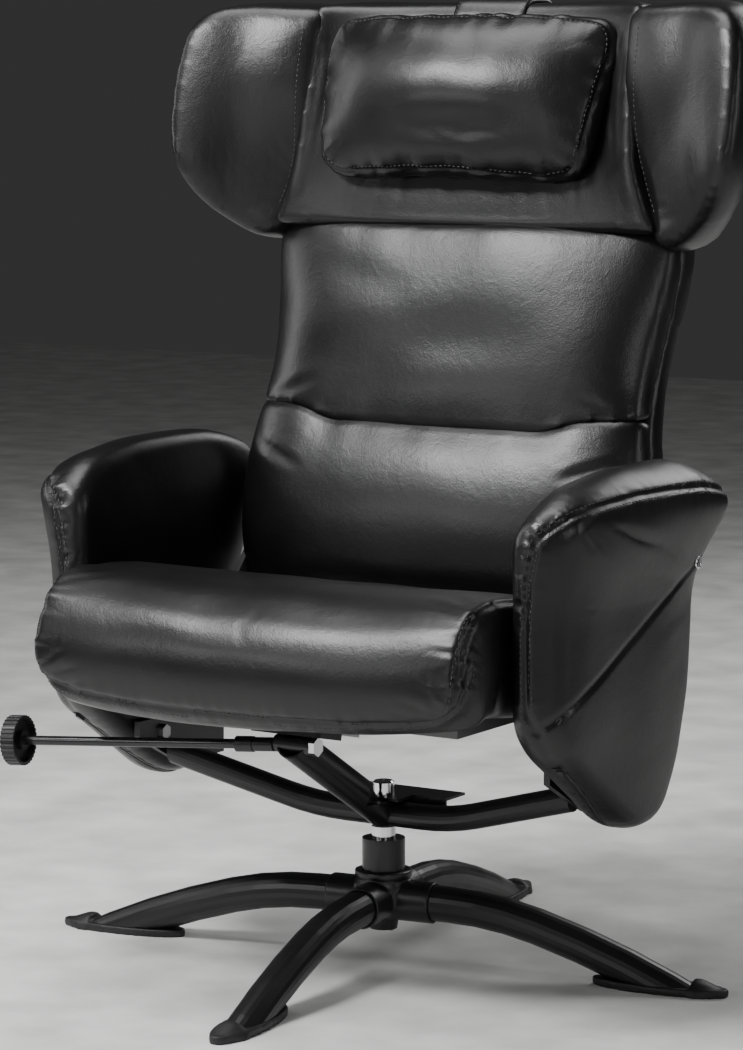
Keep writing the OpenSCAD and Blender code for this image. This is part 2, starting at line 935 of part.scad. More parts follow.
hub_casting();
leg(0);  // leg_front
leg(1);  // leg_left
leg(2);  // leg_rear
leg(3);  // leg_right
shoe(0);  // shoe_front
shoe(1);  // shoe_left
shoe(2);  // shoe_rear
shoe(3);  // shoe_right
base_screws();
base_cap();
column_sleeve();
column_bush();
thrust_bearing();
spindle();
spindle_cap();
spindle_socket();
cross_tube();
front_strut();
mounting_plate();
pivot_tube();
pivot_bolt();
glide_carriage();
rod_housing();
arm_bracket(1);  // arm_bracket_left
arm_bracket(-1);  // arm_bracket_right
arm_bracket_bolts();
arm_frame(1);  // arm_frame_left
arm_frame(-1);  // arm_frame_right
arm_pad(1);  // arm_pad_left
arm_pad(-1);  // arm_pad_right
arm_zip(1);  // arm_zip_left
arm_zip(-1);  // arm_zip_right
recline_bolt(1);  // recline_bolt_left
recline_bolt(-1);  // recline_bolt_right
zip_slider(1);  // zip_slider_left
zip_slider(-1);  // zip_slider_right
zip_ring(1);  // zip_ring_left
zip_ring(-1);  // zip_ring_right
friction_rod();
rod_collar();
knob();
seat_frame();
seat_webbing();
seat_rails();
seat_rear_pins();
seat_cushion();
back_frame();
back_webbing();
recline_plate(1);  // recline_plate_left
recline_plate(-1);  // recline_plate_right
lumbar_cushion();
upper_cushion();
head_panel();
wing(1);  // wing_left
wing(-1);  // wing_right
back_shell();
head_strap();
head_pillow();
strap_counterweight();
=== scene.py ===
"""A swivel wing recliner in black leather on a four-legged base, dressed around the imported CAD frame."""

import json
import math

import bmesh
import bpy
import numpy as np
from mathutils import Matrix, Vector, noise
from mathutils.bvhtree import BVHTree
from mathutils.geometry import delaunay_2d_cdt
from mathutils.kdtree import KDTree

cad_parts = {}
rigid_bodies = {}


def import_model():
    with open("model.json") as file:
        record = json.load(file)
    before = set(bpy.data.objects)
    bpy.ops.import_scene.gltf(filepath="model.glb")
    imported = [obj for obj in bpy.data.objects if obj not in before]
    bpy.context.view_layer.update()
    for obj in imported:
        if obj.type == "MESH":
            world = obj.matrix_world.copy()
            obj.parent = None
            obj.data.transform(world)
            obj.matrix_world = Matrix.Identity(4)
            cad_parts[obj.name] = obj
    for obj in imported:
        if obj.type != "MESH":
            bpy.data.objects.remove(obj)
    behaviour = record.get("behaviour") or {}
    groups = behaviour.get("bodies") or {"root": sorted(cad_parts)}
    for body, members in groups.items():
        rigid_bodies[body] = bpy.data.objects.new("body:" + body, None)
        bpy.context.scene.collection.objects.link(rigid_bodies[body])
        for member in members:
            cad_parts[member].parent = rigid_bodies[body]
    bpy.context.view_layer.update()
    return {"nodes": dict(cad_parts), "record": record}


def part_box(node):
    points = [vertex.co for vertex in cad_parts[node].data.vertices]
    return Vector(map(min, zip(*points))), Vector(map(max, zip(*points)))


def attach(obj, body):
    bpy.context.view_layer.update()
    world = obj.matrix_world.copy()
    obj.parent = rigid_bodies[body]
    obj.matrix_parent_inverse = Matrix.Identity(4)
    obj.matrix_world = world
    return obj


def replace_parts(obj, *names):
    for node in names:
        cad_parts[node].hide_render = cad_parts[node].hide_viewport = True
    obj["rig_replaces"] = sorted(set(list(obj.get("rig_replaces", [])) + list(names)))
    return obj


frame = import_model()
scene = bpy.context.scene

# ---- Camera, floor and light ----


def add_camera():
    data = bpy.data.cameras.new("camera")
    data.sensor_fit = "VERTICAL"
    data.sensor_height = 36
    data.lens = 131.3
    data.clip_end = 50
    camera = bpy.data.objects.new("camera", data)
    camera.location = (2.3010, -3.7000, 1.0654)
    camera.rotation_euler = (math.radians(82.727), 0, math.radians(32.062))
    scene.collection.objects.link(camera)
    scene.camera = camera


def add_area(name, at, aim, width, height, watts):
    data = bpy.data.lights.new(name, "AREA")
    data.shape = "RECTANGLE"
    data.size, data.size_y, data.energy = width, height, watts
    lamp = bpy.data.objects.new(name, data)
    lamp.location = at
    lamp.rotation_euler = (Vector(aim) - Vector(at)).to_track_quat("-Z", "Y").to_euler()
    scene.collection.objects.link(lamp)


def add_studio():
    world = bpy.data.worlds.new("studio")
    world.use_nodes = True
    world.node_tree.nodes["Background"].inputs["Color"].default_value = (1, 1, 1, 1)
    world.node_tree.nodes["Background"].inputs["Strength"].default_value = 0.035
    scene.world = world
    add_area("key_light", (-0.95, -1.5, 2.35), (0, 0.05, 0.60), 0.9, 0.5, 66)
    add_area("low_light", (-1.0, -1.8, 0.98), (0, 0.10, 0.68), 0.6, 0.34, 5)
    add_area("top_light", (-0.5, -0.2, 2.9), (0, -0.1, 0.5), 1.4, 1.2, 38)
    add_area("left_light", (-2.8, -0.5, 1.5), (0, 0, 0.6), 0.5, 1.8, 16)
    add_area("right_light", (2.5, -2.0, 1.35), (-0.2, 0, 0.8), 0.5, 1.0, 9)
    add_area("front_light", (0.1, -3.2, 0.75), (0, 0, 0.55), 0.35, 1.1, 6)
    add_area("side_light", (3.1, 0.2, 1.4), (0, 0, 0.6), 0.5, 1.8, 12)
    add_area("back_light", (0.6, 2.8, 2.2), (0, 0, 0.8), 2.0, 1.2, 34)
    bpy.ops.mesh.primitive_plane_add(size=14)
    floor = bpy.context.object
    floor.name = "floor"
    floor.data.materials.append(plain("floor_paint", (0.78, 0.78, 0.77), 0.6))


# ---- Materials ----

TEXTURE_SPAN = (0.3, 0.7)    # most of a noise texture's values lie between these


def shader(name, color, roughness, metallic=0.0):
    mat = bpy.data.materials.new(name)
    mat.use_nodes = True
    bsdf = mat.node_tree.nodes["Principled BSDF"]
    bsdf.inputs["Base Color"].default_value = (*color, 1)
    bsdf.inputs["Roughness"].default_value = roughness
    bsdf.inputs["Metallic"].default_value = metallic
    return mat, mat.node_tree.nodes, mat.node_tree.links, bsdf


def texture(nodes, links, kind, scale, **settings):
    """A procedural texture on the object's own coordinates, `scale` cells to the metre."""
    where = nodes.get("where") or nodes.new("ShaderNodeTexCoord")
    where.name = "where"
    node = nodes.new(kind)
    node.inputs["Scale"].default_value = scale
    for key, value in settings.items():
        if hasattr(node, key):
            setattr(node, key, value)
        else:
            node.inputs[key].default_value = value
    links.new(where.outputs["Object"], node.inputs["Vector"])
    return node


def spread(nodes, links, source, low, high):
    """Maps the middle of a texture's range to low..high."""
    node = nodes.new("ShaderNodeMapRange")
    for key, value in zip(("From Min", "From Max", "To Min", "To Max"), (*TEXTURE_SPAN, low, high)):
        node.inputs[key].default_value = value
    links.new(source, node.inputs["Value"])
    return node.outputs["Result"]


def tint(nodes, links, source, dark, light, bsdf):
    """Colours the surface from dark to light by a texture."""
    ramp = nodes.new("ShaderNodeValToRGB")
    for stop, place, color in zip(ramp.color_ramp.elements, TEXTURE_SPAN, (dark, light)):
        stop.position = place
        stop.color = (*color, 1)
    links.new(source, ramp.inputs["Fac"])
    links.new(ramp.outputs["Color"], bsdf.inputs["Base Color"])


def bump(nodes, links, bsdf, source, distance, strength=1.0):
    """Adds a bump on top of those that the surface already has."""
    node = nodes.new("ShaderNodeBump")
    node.inputs["Distance"].default_value = distance
    node.inputs["Strength"].default_value = strength
    links.new(source, node.inputs["Height"])
    earlier = bsdf.inputs["Normal"].links
    if earlier:
        links.new(earlier[0].from_socket, node.inputs["Normal"])
    links.new(node.outputs["Normal"], bsdf.inputs["Normal"])


def plain(name, color, roughness, metallic=0.0, fleck=700.0, relief=0.00005):
    """A moulded, painted or plated surface: soft patches of wear over a fine fleck."""
    mat, nodes, links, bsdf = shader(name, color, roughness, metallic)
    patches = texture(nodes, links, "ShaderNodeTexNoise", 9.0, Detail=4.0)
    flecks = texture(nodes, links, "ShaderNodeTexNoise", fleck, Detail=2.0)
    links.new(spread(nodes, links, patches.outputs["Fac"], roughness * 0.85, roughness * 1.15),
              bsdf.inputs["Roughness"])
    dark, light = [[c * k for c in color] for k in (0.85, 1.15)]
    tint(nodes, links, patches.outputs["Fac"], dark, light, bsdf)
    bump(nodes, links, bsdf, flecks.outputs["Fac"], relief)
    return mat


def leather(name, color, roughness):
    """Satin leather: rounded pebbles about 1.6 mm across with pores between them."""
    mat, nodes, links, bsdf = shader(name, color, roughness)
    pebbles = texture(nodes, links, "ShaderNodeTexVoronoi", 620.0, feature="SMOOTH_F1", Randomness=1.0)
    pores = texture(nodes, links, "ShaderNodeTexNoise", 1900.0, Detail=3.0)
    creases = texture(nodes, links, "ShaderNodeTexNoise", 85.0, Detail=5.0, Distortion=0.6)
    patches = texture(nodes, links, "ShaderNodeTexNoise", 7.0, Detail=3.0)
    links.new(spread(nodes, links, patches.outputs["Fac"], roughness - 0.035, roughness + 0.05),
              bsdf.inputs["Roughness"])
    tint(nodes, links, patches.outputs["Fac"], [c * 0.8 for c in color], [c * 1.25 for c in color], bsdf)
    bump(nodes, links, bsdf, creases.outputs["Fac"], 0.0009, 0.35)
    bump(nodes, links, bsdf, pebbles.outputs["Distance"], 0.00022, 0.55)
    bump(nodes, links, bsdf, pores.outputs["Fac"], 0.00008, 0.5)
    bsdf.inputs["Specular IOR Level"].default_value = 0.44
    bsdf.inputs["Coat Weight"].default_value = 0.08
    bsdf.inputs["Coat Roughness"].default_value = 0.3
    return mat


# ---- Mesh helpers ----


def add_mesh(name, verts, faces, mat, body, smooth=True):
    """A new piece, which will ride on `body`."""
    mesh = bpy.data.meshes.new(name)
    mesh.from_pydata([tuple(v) for v in verts], [], [tuple(f) for f in faces])
    mesh.materials.append(mat)
    if smooth:
        mesh.shade_smooth()
    obj = bpy.data.objects.new(name, mesh)
    scene.collection.objects.link(obj)
    obj["home"] = body
    return obj


def face_out(obj):
    """Welds the mesh and turns its faces outwards."""
    bm = bmesh.new()
    bm.from_mesh(obj.data)
    bmesh.ops.remove_doubles(bm, verts=bm.verts, dist=1e-6)
    bmesh.ops.recalc_face_normals(bm, faces=bm.faces)
    bm.to_mesh(obj.data)
    bm.free()


def coords(obj):
    co = np.empty(len(obj.data.vertices) * 3)
    obj.data.vertices.foreach_get("co", co)
    return co.reshape(-1, 3)


def set_coords(obj, co):
    obj.data.vertices.foreach_set("co", co.ravel())
    obj.data.update()


def normals(obj):
    no = np.empty(len(obj.data.vertices) * 3)
    obj.data.vertex_normals.foreach_get("vector", no)
    return no.reshape(-1, 3)


def smoothstep(low, high, x):
    t = np.clip((np.asarray(x, float) - low) / (high - low), 0, 1)
    return t * t * (3 - 2 * t)


def along(profile, z):
    """Reads a profile of (place, value) pairs at z, with rounded corners."""
    heights, values = zip(*profile)
    reach = 0.012
    return sum(np.interp(np.asarray(z, float) + k * reach, heights, values) for k in (-1, 0, 1)) / 3


def eased(points, cut, closed=True):
    """A path with each corner eased by a curve that starts `cut` before it."""
    pts = [np.array(p, float) for p in points]
    n = len(pts)
    path = []
    for i, p in enumerate(pts):
        if not closed and i in (0, n - 1):
            path.append(p)
            continue
        before, after = pts[i - 1] - p, pts[(i + 1) % n] - p
        a = before * min(cut / np.linalg.norm(before), 0.48)
        b = after * min(cut / np.linalg.norm(after), 0.48)
        path += [p + a * (1 - t) ** 2 + b * t ** 2 for t in np.linspace(0, 1, 7)]
    return np.array(path)


def resample(path, step, closed=False):
    """The same path with its points `step` apart."""
    pts = np.array(path, float)
    if closed:
        pts = np.vstack([pts, pts[:1]])
    run = np.r_[0, np.cumsum(np.linalg.norm(np.diff(pts, axis=0), axis=1))]
    count = max(int(round(run[-1] / step)), 3)
    at = np.linspace(0, run[-1], count + 1)
    out = np.stack([np.interp(at, run, pts[:, k]) for k in range(pts.shape[1])], 1)
    return out[:-1] if closed else out


def loop_normals(loop):
    """Outward unit normals of a closed anticlockwise loop in its plane."""
    d = np.roll(loop, -1, 0) - np.roll(loop, 1, 0)
    d /= np.linalg.norm(d, axis=1)[:, None]
    return np.stack([d[:, 1], -d[:, 0]], 1)


def edge_distance(points, loop):
    """How far each point is from a closed loop."""
    a, b = loop, np.roll(loop, -1, 0)
    ab = b - a
    best = np.full(len(points), 1e9)
    for i in range(len(loop)):
        t = np.clip(((points - a[i]) @ ab[i]) / (ab[i] @ ab[i]), 0, 1)
        best = np.minimum(best, np.linalg.norm(points - a[i] - t[:, None] * ab[i], axis=1))
    return best


SIDE_VIEW = Matrix(((0, 0, 1), (1, 0, 0), (0, 1, 0)))    # outline in (y, z), thickness along x
FRONT_VIEW = Matrix(((1, 0, 0), (0, 0, 1), (0, 1, 0)))   # outline in (x, z), thickness along y
QUARTER = ((0.0, 1.0), (0.3, 0.45), (0.65, 0.12), (1.0, 0.0))    # a rounded edge, as (depth, inset) shares


def side_rings(loop, low, high, edge, band):
    """Rings of points around a pad's edge, from its low face to its high one."""
    out = loop_normals(loop)
    rings = []
    for sink, inset in QUARTER:
        flat = loop - out * edge * inset
        rings.append(np.c_[flat, low(flat[:, 0], flat[:, 1]) + edge * sink])
    near, far = low(loop[:, 0], loop[:, 1]) + edge, high(loop[:, 0], loop[:, 1]) - edge
    for t in (0.2, 0.4, 0.6, 0.8):
        flat = loop + out * band * math.sin(math.pi * t)
        rings.append(np.c_[flat, near + (far - near) * t])
    for sink, inset in QUARTER[::-1]:
        flat = loop - out * edge * inset
        rings.append(np.c_[flat, high(flat[:, 0], flat[:, 1]) - edge * sink])
    return rings


def fill_rim(rim, step):
    """Points and triangles that fill a face inside its rim."""
    low_corner, high_corner = rim.min(0), rim.max(0)
    grid = np.stack(np.meshgrid(np.arange(low_corner[0], high_corner[0], step * 1.1),
                                np.arange(low_corner[1], high_corner[1], step * 1.1)), -1).reshape(-1, 2)
    grid = grid[edge_distance(grid, rim) > step * 0.6]
    points = [Vector(p) for p in np.vstack([rim, grid])]
    n = len(rim)
    edges = [(i, (i + 1) % n) for i in range(n)]
    flat, _, triangles, _, _, _ = delaunay_2d_cdt(points, edges, [list(range(n))], 1, 1e-7)
    return np.array([tuple(p) for p in flat]), triangles


def pad(name, outline, low, high, view, body, edge=0.008, crown=(0.006, 0.006), band=0.003, swell=0.09,
        step=0.011):
    """A boxed pad, and its two seam loops.

    Its outline lies in the plane of `view`, and its two faces at depths low(a, b) and high(a, b), domed by
    `crown`. The band between them bulges by `band`."""
    loop = resample(outline, step, closed=True)
    x, y = loop[:, 0], loop[:, 1]
    if np.sum(x * np.roll(y, -1) - y * np.roll(x, -1)) < 0:
        loop = loop[::-1]
    n = len(loop)
    rings = side_rings(loop, low, high, edge, band)
    verts = np.vstack(rings)
    faces = [(k * n + i, k * n + (i + 1) % n, (k + 1) * n + (i + 1) % n, (k + 1) * n + i)
             for k in range(len(rings) - 1) for i in range(n)]
    rim = loop - loop_normals(loop) * edge
    flat, triangles = fill_rim(rim, step)
    dome = (1 - (1 - np.clip(edge_distance(flat, rim) / swell, 0, 1)) ** 2) ** 0.75
    for side, (depth, height) in enumerate(((low, -crown[0]), (high, crown[1]))):
        start = len(verts)
        verts = np.vstack([verts, np.c_[flat, depth(flat[:, 0], flat[:, 1]) + height * dome]])
        faces += [tuple(start + k for k in (t if side else t[::-1])) for t in triangles]
    turn = np.array(view)
    obj = add_mesh(name, verts @ turn.T, faces, LEATHER, body)
    face_out(obj)
    return obj, [rings[1] @ turn.T, rings[-2] @ turn.T]


def settle(obj):
    """Applies whatever modifiers obj has."""
    mesh = bpy.data.meshes.new_from_object(obj.evaluated_get(bpy.context.evaluated_depsgraph_get()))
    obj.modifiers.clear()
    old, obj.data = obj.data, mesh
    bpy.data.meshes.remove(old)
    if not obj.data.materials:
        obj.data.materials.append(LEATHER)
    obj.data.shade_smooth()


def remesh(obj, voxel):
    mod = obj.modifiers.new("skin", "REMESH")
    mod.mode = "VOXEL"
    mod.voxel_size = voxel
    mod.use_smooth_shade = True
    settle(obj)


def relax(obj, rounds):
    mod = obj.modifiers.new("relax", "SMOOTH")
    mod.factor, mod.iterations = 0.5, rounds
    settle(obj)


def subdivide(obj):
    mod = obj.modifiers.new("fine", "SUBSURF")
    mod.levels = mod.render_levels = 1
    settle(obj)


def point_tree(points):
    tree = KDTree(len(points))
    for i, p in enumerate(points):
        tree.insert(p, i)
    tree.balance()
    return tree


def nearest_on(path, points, reach):
    """For each point: its distance to the path, and how far along the path it is, in metres."""
    step = 0.002
    fine = resample(path, step)
    tree = point_tree(fine)
    low, high = fine.min(0) - reach, fine.max(0) + reach
    close = np.flatnonzero(np.all((points > low) & (points < high), axis=1))
    distance, place = np.full(len(points), 1e9), np.zeros(len(points))
    for i in close:
        _, k, d = tree.find(points[i])
        distance[i], place[i] = d, k * step
    return distance, place


def surface_path(obj, path, step=0.003):
    """The path laid on obj's surface, with the surface's normal at each point."""
    tree = BVHTree.FromObject(obj, bpy.context.evaluated_depsgraph_get())
    points, ups = [], []
    for p in resample(path, step):
        at, normal, _, _ = tree.find_nearest(Vector(p))
        points.append(at)
        ups.append(normal)
    return points, ups


def ripple(place, seed, wavelength):
    """Uneven folds along a seam, from -1 to 1."""
    return np.array([noise.noise((s / wavelength, seed * 7.3, 0.0)) for s in place]) * 1.6


def sew(obj, path, depth=0.0028, width=0.0036, pucker=0.0, reach=0.02, seed=0, wavelength=0.011):
    """Presses a seam into obj along the path, with gathers of height `pucker` that die out over `reach`."""
    co, no = coords(obj), normals(obj)
    limit = max(reach * 3, width * 3)
    distance, place = nearest_on([tuple(p) for p in surface_path(obj, path, 0.008)[0]], co, limit)
    near = np.flatnonzero(distance < limit)
    d = distance[near]
    push = -depth * np.exp(-(d / width) ** 2)
    if pucker:
        fade = np.exp(-d / reach) * (1 - np.exp(-(d / width) ** 2))
        push += pucker * fade * ripple(place[near], seed, wavelength)
    co[near] += no[near] * push[:, None]
    set_coords(obj, co)


def crease(obj, a, b, depth, width, bend=(0, 0, 0)):
    """A soft fold from a to b, deepest at its middle, bowed by `bend`."""
    a, b, bend = (np.array(v, float) for v in (a, b, bend))
    path = [a + (b - a) * t + bend * 4 * t * (1 - t) for t in np.linspace(0, 1, 24)]
    co, no = coords(obj), normals(obj)
    distance, place = nearest_on(path, co, width * 3)
    near = np.flatnonzero(distance < width * 3)
    t = place[near] / (np.linalg.norm(np.diff(path, axis=0), axis=1).sum())
    d = distance[near] / width
    shape = (1.35 * d * d - 1) * np.exp(-d * d)
    co[near] += no[near] * (depth * shape * np.sin(np.pi * np.clip(t, 0, 1)) ** 0.6)[:, None]
    set_coords(obj, co)


def dent(obj, at, depth, wide, high):
    """Presses a broad soft hollow into the surface at a point."""
    co, no = coords(obj), normals(obj)
    x, y, z = (co - at).T
    away = (x / wide) ** 2 + (z / high) ** 2 + (y / 0.09) ** 4    # only the near side sinks
    co -= no * (depth * np.exp(-away))[:, None]
    set_coords(obj, co)


def soften(obj, height, size, seed):
    """Broad unevenness, as of leather over foam."""
    co, no = coords(obj), normals(obj)
    lift = np.array([noise.noise((p[0] / size + seed, p[1] / size, p[2] / size)) for p in co])
    set_coords(obj, co + no * (lift * height)[:, None])


waiting = []       # pads to be inflated, as (object, seams, farthest move)
CLOTH_FRAMES = 20
PRESSURE = 4.0
PINNED = (0.006, 0.020)    # fully held up to the first distance from a seam, and free from the second


def pin_seams(obj, seams, co):
    """Holds the cloth at its seams."""
    held = obj.vertex_groups.new(name="held")
    near = np.min([nearest_on(np.vstack([s, s[:1]]), co, 0.03)[0] for s in seams], axis=0)
    for i in np.flatnonzero(near < PINNED[1]):
        held.add([int(i)], float(1 - smoothstep(*PINNED, near[i])), "REPLACE")
    return held.name


def inflate_all():
    """Runs the cloth simulation of every pad on the waiting list at once and keeps its result."""
    shapes = {}
    for obj, seams, _ in waiting:
        shapes[obj.name] = coords(obj)
        group = pin_seams(obj, seams, shapes[obj.name])
        cloth = obj.modifiers.new("cloth", "CLOTH")
        cloth.settings.quality = 4
        cloth.settings.use_pressure = True
        cloth.settings.uniform_pressure_force = PRESSURE
        cloth.settings.effector_weights.gravity = 0
        cloth.settings.vertex_group_mass = group
        cloth.point_cache.frame_start, cloth.point_cache.frame_end = 1, CLOTH_FRAMES
    for step in range(1, CLOTH_FRAMES + 1):
        scene.frame_set(step)
    graph = bpy.context.evaluated_depsgraph_get()
    for obj, _, cap in waiting:
        move = coords(obj.evaluated_get(graph)) - shapes[obj.name]
        size = np.linalg.norm(move, axis=1)
        move *= (cap * np.tanh(size / cap) / np.maximum(size, 1e-9))[:, None]
        shapes[obj.name] = shapes[obj.name] + move
    for obj, _, _ in waiting:
        obj.modifiers.clear()
        obj.vertex_groups.clear()
        set_coords(obj, shapes[obj.name])
    scene.frame_set(1)
    waiting.clear()


def upholster(obj, seams, nodes, voxel=0.007, cap=0.008, shape=None, rounds=3):
    """Skins a pad with even faces, shapes it, and puts it on the list for the cloth simulation."""
    remesh(obj, voxel)
    relax(obj, rounds)
    if shape:
        set_coords(obj, shape(coords(obj)))
        seams = [shape(s) for s in seams]
    waiting.append((obj, seams, cap))
    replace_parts(obj, *nodes)


STITCH_LENGTH = 0.0042
STITCH_GAP = 0.0022
THREAD_RADIUS = 0.00055
THREAD_SIDES = 6
STITCH_FORM = ((-0.5, 0.45), (-0.3, 1.0), (0.3, 1.0), (0.5, 0.45))    # (place, thickness) along a stitch


def add_stitch(verts, faces, middle, run, up):
    """Adds one stitch, a short rod whose ends dip into the leather."""
    side = run.cross(up).normalized()
    start = len(verts)
    for t, r in STITCH_FORM:
        sink = -THREAD_RADIUS * 0.9 * (abs(t) > 0.4)
        for i in range(THREAD_SIDES):
            angle = 2 * math.pi * i / THREAD_SIDES
            verts.append(middle + run * STITCH_LENGTH * t + up * (sink + THREAD_RADIUS * r * math.sin(angle))
                         + side * THREAD_RADIUS * r * math.cos(angle))
    for k in range(start, start + 3 * THREAD_SIDES, THREAD_SIDES):
        faces += [(k + i, k + (i + 1) % THREAD_SIDES, k + THREAD_SIDES + (i + 1) % THREAD_SIDES,
                   k + THREAD_SIDES + i) for i in range(THREAD_SIDES)]
    faces.append([start + i for i in range(THREAD_SIDES)][::-1])
    faces.append([start + 3 * THREAD_SIDES + i for i in range(THREAD_SIDES)])


def stitch(name, obj, path, offset=0.0):
    """A row of thread stitches on obj, beside the path at a distance of `offset`."""
    points, ups = surface_path(obj, path)
    if offset:
        moved = []
        for i, (p, up) in enumerate(zip(points, ups)):
            run = (points[min(i + 1, len(points) - 1)] - points[max(i - 1, 0)]).normalized()
            moved.append(p + up.cross(run).normalized() * offset)
        points, ups = surface_path(obj, moved)
    ends = [Vector(p) for p in resample([tuple(p) for p in points], STITCH_LENGTH + STITCH_GAP)]
    tree = point_tree(points)
    verts, faces = [], []
    for a, b in zip(ends[:-1], ends[1:]):
        middle = (a + b) / 2
        up = ups[tree.find(middle)[1]]
        add_stitch(verts, faces, middle + up * THREAD_RADIUS * 0.25, (b - a).normalized(), up)
    # The thread's lighter colour is a painted highlight on black thread
    add_mesh(name, verts, faces, THREAD_WITH_PAINTED_HIGHLIGHT, obj["home"])


def mirrored(obj, name):
    """A copy of obj on the other side of the chair."""
    twin = obj.copy()
    twin.data = obj.data.copy()
    twin.name = name
    scene.collection.objects.link(twin)
    twin.data.transform(Matrix.Diagonal((-1, 1, 1, 1)))
    twin.data.flip_normals()
    return twin


def across(path, side):
    """A path drawn for the left-hand side, carried to the side 1 (left) or -1 (right)."""
    return np.array(path) * (side, 1, 1)


SIDES = ((1, "left"), (-1, "right"))

LEATHER = leather("leather_black", (0.0042, 0.0042, 0.0045), 0.35)
# Black thread, but coloured well above the leather's black: a painted highlight, so the stitches read as
# light dotted lines the way lit stitches do
THREAD_WITH_PAINTED_HIGHLIGHT = plain("thread_black_painted_highlight", (0.050, 0.050, 0.053), 0.42, fleck=1500)
PAINT = plain("frame_black", (0.009, 0.009, 0.0095), 0.34, relief=0.00008)
ROD_STEEL = plain("rod_steel", (0.05, 0.05, 0.052), 0.22, 0.8)
SHOE = plain("shoe_plastic", (0.010, 0.010, 0.0105), 0.5, relief=0.0001)
BUSH = plain("bush_plastic", (0.010, 0.010, 0.0105), 0.45)
PLATE = plain("plate_steel", (0.030, 0.030, 0.030), 0.38, 0.5)
CHROME = plain("chrome", (0.78, 0.78, 0.79), 0.12, 1.0, relief=0.00002)
BARE = plain("bare_steel", (0.36, 0.36, 0.37), 0.28, 1.0)
INNER = plain("inner_steel", (0.12, 0.12, 0.12), 0.45, 0.6)
WEBBING = plain("webbing", (0.03, 0.03, 0.032), 0.8, fleck=300, relief=0.0004)
ZIP = plain("zip_black", (0.02, 0.02, 0.02), 0.42)
KNOB = plain("knob_plastic", (0.010, 0.010, 0.0105), 0.36, relief=0.0001)

add_camera()
add_studio()

# ---- The back: lumbar cushion, upper cushion, head panel and rear shell ----

lumbar_low, lumbar_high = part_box("lumbar_cushion")
head_low, head_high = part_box("head_panel")
shell_low, shell_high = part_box("back_shell")
LUMBAR_SEAM_Z = lumbar_high.z + 0.001
HEAD_SEAM_Z = head_low.z

# By height: the depths of the front at its middle, of the side seams and of the rear, and half widths
FRONT_LINE = ((0.40, 0.086), (0.44, 0.064), (0.48, 0.058), (0.52, 0.062), (0.56, 0.076), (0.59, 0.092),
              (0.614, 0.108), (0.635, 0.108), (0.68, 0.112), (0.72, 0.121), (0.79, 0.145), (0.83, 0.160),
              (0.846, 0.169), (0.90, 0.182), (1.00, 0.208), (1.07, 0.227), (1.104, 0.243))
SIDE_LINE = ((0.40, 0.118), (0.47, 0.130), (0.55, 0.137), (0.60, 0.149), (0.65, 0.166), (0.70, 0.184),
             (0.756, 0.198), (0.845, 0.212), (0.90, 0.222), (1.06, 0.262))
REAR_LINE = ((0.345, 0.168), (0.42, 0.178), (0.52, 0.190), (0.62, 0.218), (0.74, 0.258), (0.85, 0.282),
             (1.075, 0.309), (1.104, 0.309))
HALF_LINE = ((0.41, 0.266), (0.445, 0.272), (0.475, 0.278), (0.56, 0.273), (0.613, 0.260), (0.66, 0.257),
             (0.70, 0.260), (0.74, 0.265), (0.79, 0.272), (0.82, 0.274), (0.85, 0.268))
HEAD_HALF = ((0.84, 0.266), (0.87, 0.248), (0.93, 0.230), (1.00, 0.225), (1.104, 0.223))
# How far the head panel's sides come forward of its middle, by height
HEAD_HOLLOW = ((0.85, 0.008), (0.90, 0.025), (1.00, 0.040), (1.10, 0.048))
SHELL_HALF = ((shell_low.z, 0.249), (0.445, 0.250), (0.472, 0.272), (0.560, 0.272), (0.615, 0.261),
              (0.660, 0.257), (0.700, 0.260), (0.740, 0.265), (0.790, 0.272), (0.830, 0.272), (0.870, 0.258),
              (1.0, 0.238), (shell_high.z, 0.228))


def roll_off(x, z):
    """How far the front has turned back towards the side seam: 0 at the middle, 1 at the seam."""
    share = np.clip(np.abs(x) / along(HALF_LINE, z), 0, 1)
    return 1 - np.sqrt(1 - share ** 3)


def back_front(x, z):
    middle, side = along(FRONT_LINE, z), along(SIDE_LINE, z) - 0.006
    return middle + (side - middle) * roll_off(x, z)


def two_sided(right, cut):
    """The outline whose right half is given as (x, z) points, with its corners eased."""
    return eased(right + [(-x, z) for x, z in right[::-1]], cut)


def back_panel(name, low_z, high_z):
    """One cushion of the back, between two heights."""
    right = [(along(HALF_LINE, z), z) for z in np.linspace(low_z, high_z, 12)]
    return pad(name, two_sided(right, 0.010), back_front, lambda x, z: along(SIDE_LINE, z) + 0.020,
               FRONT_VIEW, "back", edge=0.007, crown=(0.0, 0.0), band=0.0)


def lift_seam(co):
    """Raises the ends of the seam between the lumbar and the upper cushion."""
    x, y, z = co.T
    near = np.exp(-((z - lumbar_high.z) / 0.045) ** 2)
    return np.c_[x, y, z + 0.016 * smoothstep(0.13, 0.205, np.abs(x)) * near]


def head_front(x, z):
    share = np.clip(np.abs(x) / along(HEAD_HALF, z), 0, 1)
    return along(FRONT_LINE, z) - along(HEAD_HOLLOW, z) * share ** 3.2


def shell_rear(x, z):
    return along(REAR_LINE, z) - 0.022 * np.clip(np.abs(x) / 0.26, 0, 1) ** 4 * smoothstep(1.02, 0.90, z)


